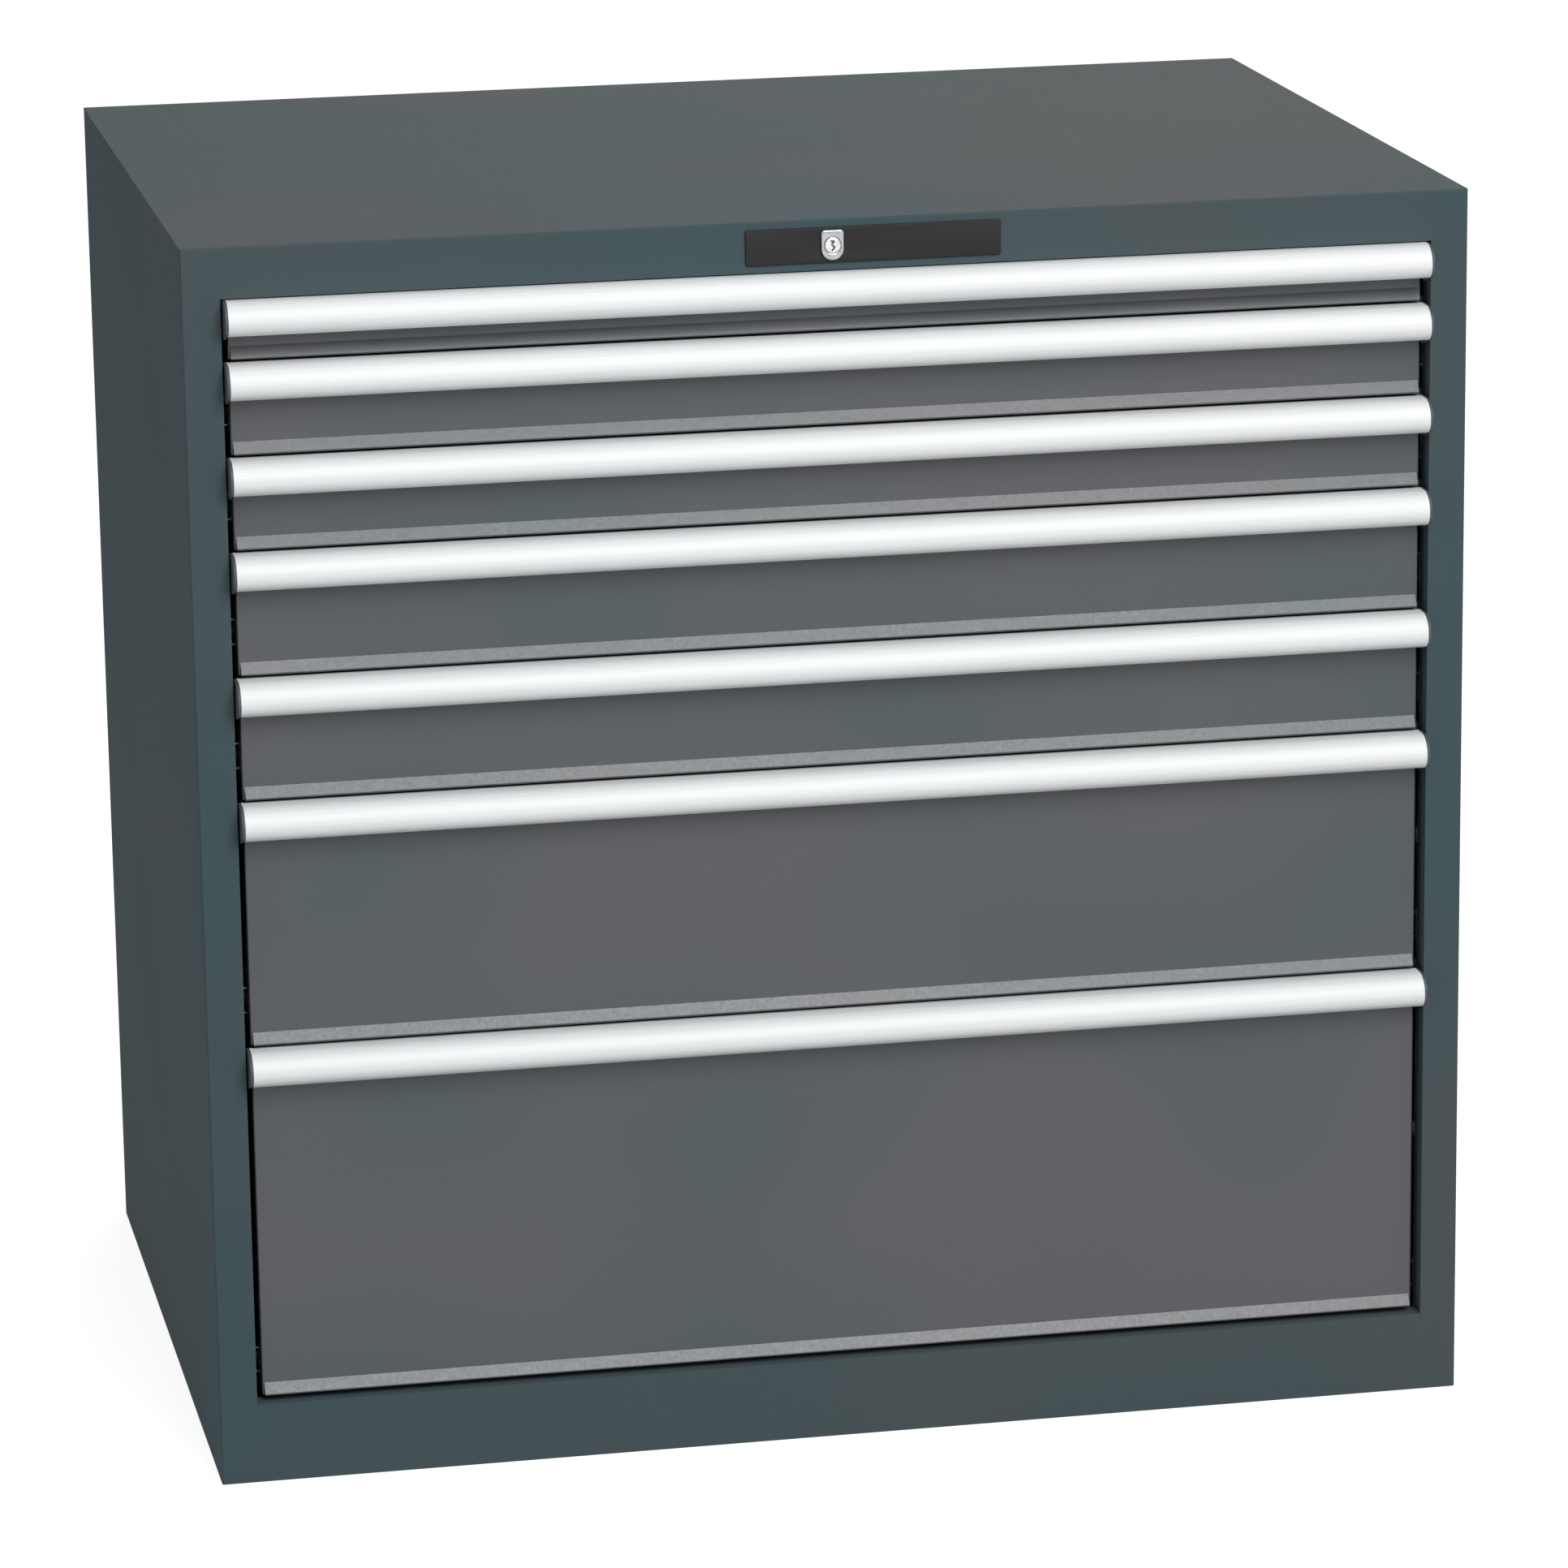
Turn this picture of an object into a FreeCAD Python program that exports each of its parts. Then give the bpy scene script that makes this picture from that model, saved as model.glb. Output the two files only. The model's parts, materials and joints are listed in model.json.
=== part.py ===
import FreeCAD, Part
import math
import os

# ESD drawer cabinet with seven full-extension drawers and a central lock.
# Millimetres. X runs right seen from the front, the front faces -Y, Z is up.
# The origin lies on the floor, at the middle of the footprint with the handles.

# Housing
width = 1023.0
depth = 725.0
sheet_t = 1.5
edge_r = 1.0
overcut = 1.0
nothing = 1e-6
stile = 30.0
stile_return = 20.0
top_rail = 40.0
plinth = 65.0
base_flange = 40.0
rear_flange = 20.0
rear_joggle = 8.0
weld_flange = 12.0
floor_hole_r = 5.5
floor_hole_inset = 80.0

# Drawers, from the top down, in steps of the raster
raster = 25.0
front_steps = [2, 3, 3, 4, 4, 8, 12]
stack_drop = 5.0
front_recess = 10.0
front_t = 1.25
front_box = 15.0
front_side_gap = 5.5
front_gap = 1.2
lip_height = 10.0
lip_out = 6.0
lip_inset = 2.0
last_front_gap = 5.0
pan_t = 1.0
pan_side_gap = 21.5
pan_lift = 6.5
pan_headroom = 11.0
pan_rear_gap = 86.0
hem = 8.0

# Handle profile: rear leg on the front, full round nose, open finger grip below
handle_out = 28.0
handle_height = 27.0
handle_wall = 2.2
handle_leg = 25.0
handle_top_r = 16.0
handle_side_gap = 1.5
cap_t = 2.5
cap_tongue = 8.0

# Runners
roller_r = 9.0
roller_sides = 12
support_r = 6.0
run_gap = 0.3
slide_gap = 1.0
rail_t = 1.5
runner_lift = 28.0
drawer_rail_out = 11.0
carriage_width = 8.5
rail_width = 13.0
rail_front = 38.0
rail_rear_gap = 35.0
carriage_front = 45.0
carriage_rear_inset = 14.0
roller_inset = 12.0
support_at = 62.0
tail_inset = 39.0

# Uprights with slots on the raster
upright_depth = 15.0
upright_width = 40.0
upright_front = 26.0
upright_rear_gap = 45.0
slot_w = 6.0
slot_h = 12.0
hook_w = 5.0
hook_h = 10.0
hook_reach = 3.0

# Lock in the top rail
lock_x = -3.0
cover_left = 68.7
cover_right = 134.7
cover_h = 28.0
cover_t = 2.0
shield_w = 18.0
shield_h = 24.0
shield_t = 2.5
plug_r = 6.2
plug_proud = 0.8
barrel_r = 9.0
barrel_sides = 12
barrel_back = 20.0
nut_r = 13.0
nut_back = 6.0
crank_r = 10.0
crank_t = 2.5
crank_arm_w = 12.0
crank_pin_r = 2.5
link_pin_r = 3.0
pin_play = 0.6
bar_t = 3.0
draw_bar_at = 26.0
draw_bar_h = 18.0
lock_bar_at = 30.0
lock_bar_w = 10.0
link_inset = 6.0
tooth_h = 6.0
tooth_reach = 10.0
tooth_lift = 8.5
catch_h = 9.5
catch_w = 20.0

# Earthing stud on the back
stud_r = 5.0
stud_length = 5.0
stud_foot_r = 8.0
stud_foot_t = 1.0
stud_inset = 71.5
stud_z = 110.0

# Places worked out from the sizes above
half_w = width / 2
stack_base = plinth - stack_drop
open_top = stack_base + raster * sum(front_steps)
height = open_top + top_rail
front_y = -(depth + handle_out - front_recess) / 2 + handle_out - front_recess
back_y = front_y + depth
open_half = half_w - stile
inner_x = half_w - sheet_t
panel_y = front_y + front_recess
front_half = open_half - front_side_gap
handle_half = open_half - handle_side_gap
handle_low_r = handle_height - handle_top_r
handle_lip = handle_low_r + run_gap
pan_front = panel_y + front_box
pan_back = back_y - pan_rear_gap
pan_half = open_half - pan_side_gap
extension = pan_back - pan_t - front_y
channel_h = roller_r + run_gap + rail_t
upright_x = inner_x - upright_depth
carriage_x = open_half - slide_gap
lock_z = height - top_rail / 2
swing = math.radians(45)
stroke = 2 * crank_r * math.sin(swing)
bar_right = upright_x - slide_gap
bar_left = bar_right - lock_bar_w
link_x = bar_left - link_inset
draw_bar_z = lock_z - crank_r + slide_gap
lift_z = lock_z - crank_r - link_pin_r
pan_wall_x = pan_half - pan_t
stud_x = half_w - stud_inset
upright_places = [front_y + upright_front, back_y - upright_rear_gap - upright_width]


def vec(x, y, z):
    return FreeCAD.Vector(x, y, z)


def box(x0, x1, y0, y1, z0, z1):
    return Part.makeBox(x1 - x0, y1 - y0, z1 - z0, vec(x0, y0, z0))


def disc(u, v, radius, place):
    """Round face from two half circles."""
    left = place(u - radius, v)
    right = place(u + radius, v)
    over = Part.Arc(left, place(u, v + radius), right).toShape()
    under = Part.Arc(right, place(u, v - radius), left).toShape()
    return Part.Face(Part.Wire([over, under]))


def polygon(u, v, radius, sides, place):
    """Regular face with level top and bottom edges."""
    corners = []
    for i in range(sides):
        turn = 2 * math.pi * (i + 0.5) / sides
        corners.append((u + radius * math.sin(turn), v + radius * math.cos(turn), 0))
    return outline(corners, place)


def roller(x0, x1, y, z, radius):
    """Runner roller with a many-sided rim."""
    return extruded_x(polygon(y, z, radius, roller_sides, in_section), x0, x1)


def rod_y(y0, y1, x, z, radius):
    return extruded_y(disc(x, z, radius, in_front), y0, y1)


def rod_z(z0, z1, x, y, radius):
    return extruded_z(disc(x, y, radius, in_plan), z0, z1)


def fused(shapes):
    """One clean solid from shapes that meet."""
    return shapes[0].multiFuse(shapes[1:]).removeSplitter()


def mirrored(shape):
    return shape.mirror(vec(0, 0, 0), vec(1, 0, 0))


def pair(shape):
    """The shape and its mirror image across the cabinet, as two solids."""
    return [shape, mirrored(shape)]


def in_plan(u, v):
    return vec(u, v, 0)


def in_section(u, v):
    return vec(0, u, v)


def in_front(u, v):
    return vec(u, 0, v)


def outline(corners, place):
    """Face through corners (u, v, radius), each rounded to its radius."""
    points = [place(u, v) for u, v, radius in corners]
    edges = []
    starts = []
    ends = []
    for i, (u, v, radius) in enumerate(corners):
        here = points[i]
        back = (points[i - 1] - here).normalize()
        ahead = (points[(i + 1) % len(points)] - here).normalize()
        half = back.getAngle(ahead) / 2
        if radius <= 0:
            starts.append(here)
            ends.append(here)
            continue
        reach = radius / math.tan(half)
        middle = (back + ahead).normalize() * (radius / math.sin(half) - radius)
        starts.append(here + back * reach)
        ends.append(here + ahead * reach)
        edges.append(Part.Arc(starts[-1], here + middle, ends[-1]).toShape())
    for i in range(len(points)):
        if (starts[i] - ends[i - 1]).Length > nothing:
            edges.append(Part.LineSegment(ends[i - 1], starts[i]).toShape())
    return Part.Face(Part.Wire(Part.sortEdges(edges)[0]))


def sheet(path, thickness, place):
    """Face of a folded strip: path (u, v, radius) is one skin, the other lies thickness to its left.

    A radius no greater than the thickness leaves the inside of its fold sharp.
    """
    count = len(path)
    steps = []
    for i in range(count - 1):
        du = path[i + 1][0] - path[i][0]
        dv = path[i + 1][1] - path[i][1]
        length = math.hypot(du, dv)
        steps.append((du / length, dv / length))
    other = []
    for i, (u, v, radius) in enumerate(path):
        before = steps[max(i - 1, 0)]
        after = steps[min(i, count - 2)]
        scale = thickness / (1 + before[0] * after[0] + before[1] * after[1])
        turn = before[0] * after[1] - before[1] * after[0]
        shrink = abs(thickness) if turn * thickness > 0 else -abs(thickness)
        inner = max(radius - shrink, 0) if radius > 0 else 0
        shift_u = -(before[1] + after[1]) * scale
        shift_v = (before[0] + after[0]) * scale
        other.append((u + shift_u, v + shift_v, inner))
    return outline(list(path) + other[::-1], place)


def folded(points, thickness, place, sharp=()):
    """A sheet face, rounded by its thickness at each outer fold but the hidden ones named sharp."""
    path = []
    last = len(points) - 1
    for i, (u, v) in enumerate(points):
        if i in (0, last) or i in sharp:
            path.append((u, v, 0))
            continue
        du0, dv0 = u - points[i - 1][0], v - points[i - 1][1]
        du1, dv1 = points[i + 1][0] - u, points[i + 1][1] - v
        outer = (du0 * dv1 - dv0 * du1) * thickness > 0
        path.append((u, v, abs(thickness) if outer else 0))
    return sheet(path, thickness, place)


def extruded_x(face, x0, x1):
    face.translate(vec(x0, 0, 0))
    return face.extrude(vec(x1 - x0, 0, 0))


def extruded_y(face, y0, y1):
    face.translate(vec(0, y0, 0))
    return face.extrude(vec(0, y1 - y0, 0))


def extruded_z(face, z0, z1):
    face.translate(vec(0, 0, z0))
    return face.extrude(vec(0, 0, z1 - z0))


def keep(name, solids):
    """Write one named piece, or one group of like pieces, to its file."""
    shape = solids[0] if len(solids) == 1 else Part.makeCompound(solids)
    shape.exportStep("parts/" + name + ".step")


# Housing

def side_panel():
    """Right side: stile and its return, side skin, joggled rear flange, from one folded sheet."""
    weld_y = back_y - rear_joggle
    rear_x = half_w - rear_flange
    face = folded(
        [
            (open_half, front_y + stile_return),
            (open_half, front_y),
            (half_w, front_y),
            (half_w, back_y),
            (rear_x, back_y),
            (rear_x, weld_y),
            (rear_x - weld_flange, weld_y),
        ],
        sheet_t,
        in_plan,
        (1, 4, 5),
    )
    panel = extruded_z(face, 0, height - sheet_t)
    past = stile_return + sheet_t
    behind_rail = box(open_half - overcut, inner_x, front_y - overcut, front_y + past, open_top, height)
    beside_rail = box(inner_x - overcut, half_w + overcut, front_y - overcut, front_y + sheet_t, open_top, height)
    return panel.cut(behind_rail).cut(beside_rail)


def rear_frame(z, up):
    """Joggled rear flange of the top or base; up is +1 where it rises from the base."""
    weld_y = back_y - rear_joggle
    face = folded(
        [
            (back_y - 2 * rear_flange, z),
            (back_y, z),
            (back_y, z + up * rear_flange),
            (weld_y, z + up * rear_flange),
            (weld_y, z + up * (rear_flange + weld_flange)),
        ],
        up * sheet_t,
        in_section,
        (2, 3),
    )
    rear_x = half_w - rear_flange
    reach = rear_x - run_gap
    flange = extruded_x(face, -reach, reach)
    beside = box(rear_x - weld_flange, half_w, weld_y - sheet_t, weld_y, z - 2 * stile, z + 2 * stile)
    return flange.cut(Part.makeCompound(pair(beside)))


def rounded_envelope():
    """Outer block of the housing with its upright front edges rounded as the side skins are."""
    r = sheet_t
    corners = [
        (-half_w, front_y, r),
        (half_w, front_y, r),
        (half_w, back_y, 0),
        (-half_w, back_y, 0),
    ]
    return extruded_z(outline(corners, in_plan), 0, height)


def top_panel():
    """Top skin, folded down into the front rail with its return, with the lock's hole."""
    face = folded(
        [
            (front_y + stile_return, open_top),
            (front_y, open_top),
            (front_y, height),
            (back_y, height),
        ],
        -sheet_t,
        in_section,
        (1,),
    )
    skin = extruded_x(face, -half_w, half_w).common(rounded_envelope())
    hole = barrel(front_y - overcut, front_y + sheet_t + overcut, run_gap)
    side_skin = box(inner_x, half_w, front_y + sheet_t, back_y, open_top - overcut, height - sheet_t)
    cuts = Part.makeCompound(pair(side_skin) + [hole])
    return fused([skin, rear_frame(height, -1)]).cut(cuts)


def back_panel():
    weld_y = back_y - rear_joggle - sheet_t
    edge = inner_x - 2 * sheet_t
    return box(-edge, edge, weld_y - sheet_t, weld_y, sheet_t, height - 2 * sheet_t)


def floor_holes():
    """Four holes for fixing bolts, set in alike from the front and the back."""
    x = half_w - floor_hole_inset
    holes = []
    for y in (front_y + floor_hole_inset, back_y - floor_hole_inset):
        holes += pair(rod_z(-sheet_t, 2 * sheet_t, x, y, floor_hole_r))
    return Part.makeCompound(holes)


def base_pan():
    """Floor plate with upturned sides and the joggled rear flange."""
    face = folded(
        [(-inner_x, base_flange), (-inner_x, 0), (inner_x, 0), (inner_x, base_flange)],
        sheet_t,
        in_front,
        (1, 2),
    )
    tray = extruded_y(face, front_y + stile_return, back_y - rear_joggle - sheet_t)
    return fused([tray, rear_frame(0, 1)]).cut(floor_holes())


def plinth_front():
    face = folded(
        [
            (front_y + stile_return, 0),
            (front_y, 0),
            (front_y, plinth),
            (front_y + stile_return, plinth),
        ],
        -sheet_t,
        in_section,
        (1, 2),
    )
    return extruded_x(face, -open_half, open_half)


def upright(y0):
    """Channel on the right side skin, with a slot in its web for the hook of each runner."""
    y1 = y0 + upright_width
    corners = [(inner_x, y0), (upright_x, y0), (upright_x, y1), (inner_x, y1)]
    face = folded(corners, -rail_t, in_plan, (1, 2))
    channel = extruded_z(face, base_flange, open_top)
    middle = (y0 + y1) / 2
    slots = []
    for n in range(len(front_steps)):
        z = runner_z(n)
        slots.append(
            box(
                upright_x - overcut,
                upright_x + rail_t + overcut,
                middle - slot_w / 2,
                middle + slot_w / 2,
                z - slot_h / 2,
                z + slot_h / 2,
            )
        )
    return channel.cut(Part.makeCompound(slots))


# Runners, right side; the left side is the mirror image

def drawer_floor(n):
    """Height of the raster line below drawer n, counted from the top."""
    return open_top - raster * sum(front_steps[: n + 1])


def runner_z(n):
    return drawer_floor(n) + runner_lift


def guide_rail(n):
    """Fixed C rail, open to the drawer, with a lug for its roller and hooks for the uprights."""
    z = runner_z(n)
    x0 = upright_x - rail_width
    face = folded(
        [
            (x0, z - channel_h),
            (upright_x, z - channel_h),
            (upright_x, z + channel_h),
            (x0, z + channel_h),
        ],
        rail_t,
        in_front,
        (1, 2),
    )
    rail = extruded_y(face, front_y + rail_front, back_y - rail_rear_gap)
    y = front_y + support_at
    low = support_z(n) - support_r
    lug = box(
        upright_x - rail_t,
        upright_x,
        y - roller_inset,
        y + roller_inset,
        low,
        z - channel_h / 2,
    )
    pieces = [rail, lug]
    for place in upright_places:
        middle = place + upright_width / 2
        pieces.append(
            box(
                upright_x - rail_t,
                upright_x + hook_reach,
                middle - hook_w / 2,
                middle + hook_w / 2,
                z - hook_h / 2,
                z + hook_h / 2,
            )
        )
    return fused(pieces)


def support_z(n):
    """Axis height of the fixed roller, which runs under the carriage."""
    return runner_z(n) - channel_h - run_gap - support_r


def support_roller(n):
    x0 = carriage_x - carriage_width - support_r
    return roller(x0, upright_x - rail_t, front_y + support_at, support_z(n), support_r)


def carriage(n):
    """Sliding C channel, with a nose roller for the drawer and a tail roller for the guide rail."""
    z = runner_z(n)
    x0 = carriage_x - carriage_width
    y0 = front_y + carriage_front
    y1 = pan_back - carriage_rear_inset
    face = folded(
        [
            (x0, z - channel_h),
            (carriage_x, z - channel_h),
            (carriage_x, z + channel_h),
            (x0, z + channel_h),
        ],
        rail_t,
        in_front,
        (1, 2),
    )
    channel = extruded_y(face, y0, y1)
    nose_x = pan_half + rail_t + slide_gap
    tail_x = upright_x - rail_t - 2 * slide_gap
    nose = roller(nose_x, carriage_x - rail_t, y0 + roller_inset, z, roller_r)
    tail = roller(carriage_x, tail_x, y1 - roller_inset, z, roller_r)
    return [channel, nose, tail]


def tail_roller(n):
    """Roller on the drawer's tail, which runs inside the carriage."""
    x1 = carriage_x - rail_t - slide_gap
    return roller(pan_half + rail_t, x1, pan_back - tail_inset, runner_z(n), roller_r)


# Drawers

def front_top(n):
    return drawer_floor(n) + raster * front_steps[n] - front_gap


def front_bottom(n):
    if n == len(front_steps) - 1:
        return plinth + last_front_gap
    return drawer_floor(n) + front_gap


def drawer_pan(n):
    """Welded pan: floor, four hemmed walls, a C channel on each side and the lock catch."""
    bottom = drawer_floor(n) + pan_lift
    top = drawer_floor(n) + raster * front_steps[n] - pan_headroom
    hem_x = pan_wall_x - pan_t
    hem_z = top - hem
    floor = box(-pan_wall_x, pan_wall_x, pan_front + pan_t, pan_back - pan_t, bottom, bottom + pan_t)
    side = box(pan_wall_x, pan_half, pan_front, pan_back, bottom, top)
    side_hem = box(hem_x, pan_wall_x, pan_front + 2 * pan_t, pan_back - 2 * pan_t, hem_z, top)
    sheets = [floor] + pair(fused([side, side_hem]))
    for y, inner in ((pan_front, 1), (pan_back - pan_t, -1)):
        hem_y = y + inner * pan_t
        wall = box(-pan_wall_x, pan_wall_x, y, y + pan_t, bottom, top)
        wall_hem = box(-pan_wall_x, pan_wall_x, hem_y, hem_y + pan_t, hem_z, top)
        sheets.append(fused([wall, wall_hem]))
    return sheets + pair(drawer_channel(n)) + [lock_catch(bottom)]


def drawer_channel(n):
    """C channel on the outside of the pan's wall, which the nose roller of the carriage runs in."""
    z = runner_z(n)
    reach = pan_half + drawer_rail_out
    face = folded(
        [
            (reach, z + channel_h),
            (pan_half, z + channel_h),
            (pan_half, z - channel_h),
            (reach, z - channel_h),
        ],
        rail_t,
        in_front,
        (1, 2),
    )
    return extruded_y(face, pan_front + lip_height / 2, pan_back - pan_t)


def lock_catch(bottom):
    """Plate on the right wall that a raised tooth of the locking bar stands in front of."""
    y = front_y + lock_bar_at + bar_t + slide_gap
    return box(pan_half, pan_half + catch_w, y, y + bar_t, bottom, bottom + catch_h)


def drawer_front(n):
    """Folded front: side and top returns, and a lower lip that slants outwards."""
    top = front_top(n)
    bottom = front_bottom(n)
    rear = pan_front
    face = folded(
        [(-front_half, rear), (-front_half, panel_y), (front_half, panel_y), (front_half, rear)],
        front_t,
        in_plan,
    )
    shell = extruded_z(face, bottom, top - front_t)
    lip_half = front_half - lip_inset
    knee = bottom + lip_height
    foot = pan_lift + lip_height
    shell = shell.cut(box(-lip_half, lip_half, panel_y - overcut, panel_y + front_t, bottom - overcut, knee))
    lip_face = folded(
        [
            (panel_y, knee + lip_out),
            (panel_y, knee),
            (panel_y - lip_out, bottom),
            (rear, bottom),
            (rear, bottom + foot),
        ],
        front_t,
        in_section,
        (3,),
    )
    lip = extruded_x(lip_face, -lip_half, lip_half)
    cover_face = folded(
        [(panel_y, top - lip_height), (panel_y, top), (rear, top), (rear, top - 2 * lip_height)],
        -front_t,
        in_section,
        (1, 2),
    )
    cover_half = front_half - edge_r - front_t
    cover = extruded_x(cover_face, -cover_half, cover_half)
    return fused([shell, lip, cover])


def handle_skin(n):
    """Outer skin of the handle, from the foot of its rear leg round to the end of its nose."""
    top = front_top(n)
    nose = panel_y - handle_out
    low = top - handle_height
    return [
        (panel_y, top - handle_leg, 0),
        (panel_y, top, 0),
        (nose, top, handle_top_r),
        (nose, low, handle_low_r),
        (nose + handle_lip, low, 0),
    ]


def handle(n):
    """Extruded profile the width of the drawer: the nose stands clear for the fingers."""
    face = sheet(handle_skin(n), handle_wall, in_section)
    reach = handle_half - cap_t
    return extruded_x(face, -reach, reach)


def end_cap(n):
    """Right end cap, with a tongue that plugs into the handle under its top wall."""
    plate = extruded_x(outline(handle_skin(n), in_section), handle_half - cap_t, handle_half)
    top = front_top(n) - handle_wall - run_gap
    tongue = box(
        handle_half - cap_t - cap_tongue,
        handle_half - cap_t,
        panel_y - handle_out + handle_top_r,
        panel_y - handle_wall - run_gap,
        top - handle_wall,
        top,
    )
    return fused([plate, tongue])


# Central lock

def lock_cover():
    """Plastic strip on the rail, longer to the right of the lock."""
    z0 = lock_z - cover_h / 2
    z1 = lock_z + cover_h / 2
    strip = box(lock_x - cover_left, lock_x + cover_right, front_y - cover_t, front_y, z0, z1)
    return strip.cut(barrel(front_y - cover_t - overcut, front_y + overcut, run_gap))


def lock_escutcheon():
    """Shield with a flat top and a round foot, with the hole for the lock's plug."""
    half = shield_w / 2
    top = lock_z + shield_h / 2
    low = lock_z - shield_h / 2
    corners = [
        (lock_x - half, low, half - edge_r),
        (lock_x + half, low, half - edge_r),
        (lock_x + half, top, half / 3),
        (lock_x - half, top, half / 3),
    ]
    y0 = front_y - cover_t - shield_t
    shield = extruded_y(outline(corners, in_front), y0, front_y - cover_t)
    rim = [edge for edge in shield.Edges if abs(edge.BoundBox.YMax - y0) < nothing]
    shield = shield.makeChamfer(edge_r, rim)
    return shield.cut(rod_y(y0 - overcut, front_y, lock_x, lock_z, plug_r + run_gap))


def barrel(y0, y1, gap):
    """Barrel of the lock from y0 to y1, flat on its sides so that it can't turn in the rail."""
    return extruded_y(polygon(lock_x, lock_z, barrel_r + gap, barrel_sides, in_front), y0, y1)


def lock_housing():
    """Barrel through the cover and the rail, with its six-sided nut behind the rail."""
    start = front_y - cover_t
    body = barrel(start, front_y + barrel_back, 0)
    nut_face = polygon(lock_x, lock_z, nut_r, 6, in_front)
    nut = extruded_y(nut_face, front_y + sheet_t, front_y + nut_back)
    bore = rod_y(start - overcut, front_y + barrel_back + overcut, lock_x, lock_z, plug_r + run_gap)
    return fused([body, nut]).cut(bore)


def lock_cylinder():
    """Turning plug with a stepped keyway."""
    start = front_y - cover_t - shield_t - plug_proud
    plug = rod_y(start, front_y + barrel_back + run_gap, lock_x, lock_z, plug_r)
    blade = plug_proud
    ward = plug_r / 2
    deep = start + shield_t + cover_t
    upper = box(lock_x - blade, lock_x + blade / 2, start - overcut, deep, lock_z, lock_z + ward + overcut)
    lower = box(lock_x - blade / 2, lock_x + blade, start - overcut, deep, lock_z - ward - overcut, lock_z)
    return plug.cut(upper).cut(lower)


def crank_pin_place():
    """Pin centre at rest, unlocked: below the lock's axis and to its right."""
    return lock_x + crank_r * math.sin(swing), lock_z - crank_r * math.cos(swing)


def lock_crank():
    """Crank plate on the plug's tail, with the pin that drives the draw bar."""
    y0 = front_y + barrel_back + run_gap
    y1 = y0 + crank_t
    x, z = crank_pin_place()
    across = crank_arm_w / 2 * math.sin(swing)
    corners = []
    for u, v, way in ((lock_x, lock_z, -1), (x, z, 1)):
        end_u = u + way * across
        end_v = v - way * across
        corners.append((end_u - way * across, end_v - way * across, 0))
        corners.append((end_u + way * across, end_v + way * across, 0))
    arm = extruded_y(outline(corners, in_front), y0, y1)
    pin_face = polygon(x, z, crank_pin_r, roller_sides, in_front)
    pin = extruded_y(pin_face, y1 - edge_r, front_y + draw_bar_at + bar_t + slide_gap)
    return fused([arm, pin])


def slanted_slot(y0, y1):
    """Slot with round ends along the line at 45 degrees that the link pin follows."""
    r = link_pin_r + run_gap
    side = r * math.sin(swing)
    low = (link_x, lift_z)
    high = (link_x + stroke, lift_z + stroke)
    corners = [
        (low[0] + side, low[1] - side, 0),
        (high[0] + side, high[1] - side, 0),
        (high[0] - side, high[1] + side, 0),
        (low[0] - side, low[1] + side, 0),
    ]
    straight = extruded_y(outline(corners, in_front), y0, y1)
    ends = [rod_y(y0, y1, low[0], low[1], r), rod_y(y0, y1, high[0], high[1], r)]
    return straight.multiFuse(ends)


def lock_draw_bar():
    """Flat bar behind the top rail: an upright slot for the crank pin, an inclined one for the link."""
    y0 = front_y + draw_bar_at
    y1 = y0 + bar_t
    pin_x, pin_z = crank_pin_place()
    left = pin_x - stroke
    head = link_pin_r * 2
    strip = box(left, link_x, y0, y1, draw_bar_z - draw_bar_h / 2, draw_bar_z + draw_bar_h / 2)
    end = box(link_x - head, link_x + stroke + head, y0, y1, lift_z - head, lift_z + stroke + head)
    wide = crank_pin_r + pin_play
    slot = box(
        pin_x - wide,
        pin_x + wide,
        y0 - overcut,
        y1 + overcut,
        lock_z - crank_r - wide,
        pin_z + wide,
    )
    return fused([strip, end]).cut(slot).cut(slanted_slot(y0 - overcut, y1 + overcut))


def locking_bar():
    """Bar with a tooth welded on below each drawer's catch, and the link pin on its head."""
    y0 = front_y + lock_bar_at
    y1 = y0 + bar_t
    head = link_pin_r * 2
    pieces = [box(bar_left, bar_right, y0, y1, plinth - stroke, lift_z + head)]
    pieces.append(box(link_x - head, bar_left, y0, y1, lift_z - head, lift_z + head))
    for n in range(len(front_steps)):
        z = drawer_floor(n) + tooth_lift - stroke
        pieces.append(box(bar_left - tooth_reach, bar_left, y0, y1, z, z + tooth_h))
    pin_face = polygon(link_x, lift_z, link_pin_r, roller_sides, in_front)
    pieces.append(extruded_y(pin_face, front_y + draw_bar_at - slide_gap, y0))
    return pieces


def bar_loop(z):
    """Loop on the front upright that the locking bar slides through."""
    y0 = front_y + lock_bar_at
    outer = box(
        bar_left - run_gap - rail_t,
        upright_x,
        y0 - run_gap - rail_t,
        y0 + bar_t + run_gap + rail_t,
        z,
        z + slot_h,
    )
    inner = box(
        bar_left - run_gap,
        bar_right + run_gap,
        y0 - run_gap,
        y0 + bar_t + run_gap,
        z - overcut,
        z + slot_h + overcut,
    )
    return outer.cut(inner)


def draw_loop(x):
    """Loop hung from the top skin that the draw bar slides through."""
    y0 = front_y + draw_bar_at
    low = draw_bar_z - draw_bar_h / 2 - run_gap
    high = draw_bar_z + draw_bar_h / 2 + run_gap
    outer = box(
        x,
        x + slot_h,
        y0 - run_gap - rail_t,
        y0 + bar_t + run_gap + rail_t,
        low - rail_t,
        high + rail_t,
    )
    inner = box(x - overcut, x + slot_h + overcut, y0 - run_gap, y0 + bar_t + run_gap, low, high)
    hanger = box(
        x,
        x + slot_h,
        y0 + bar_t + run_gap,
        y0 + bar_t + run_gap + rail_t,
        high,
        height - sheet_t,
    )
    return fused([outer.cut(inner), hanger])


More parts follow.
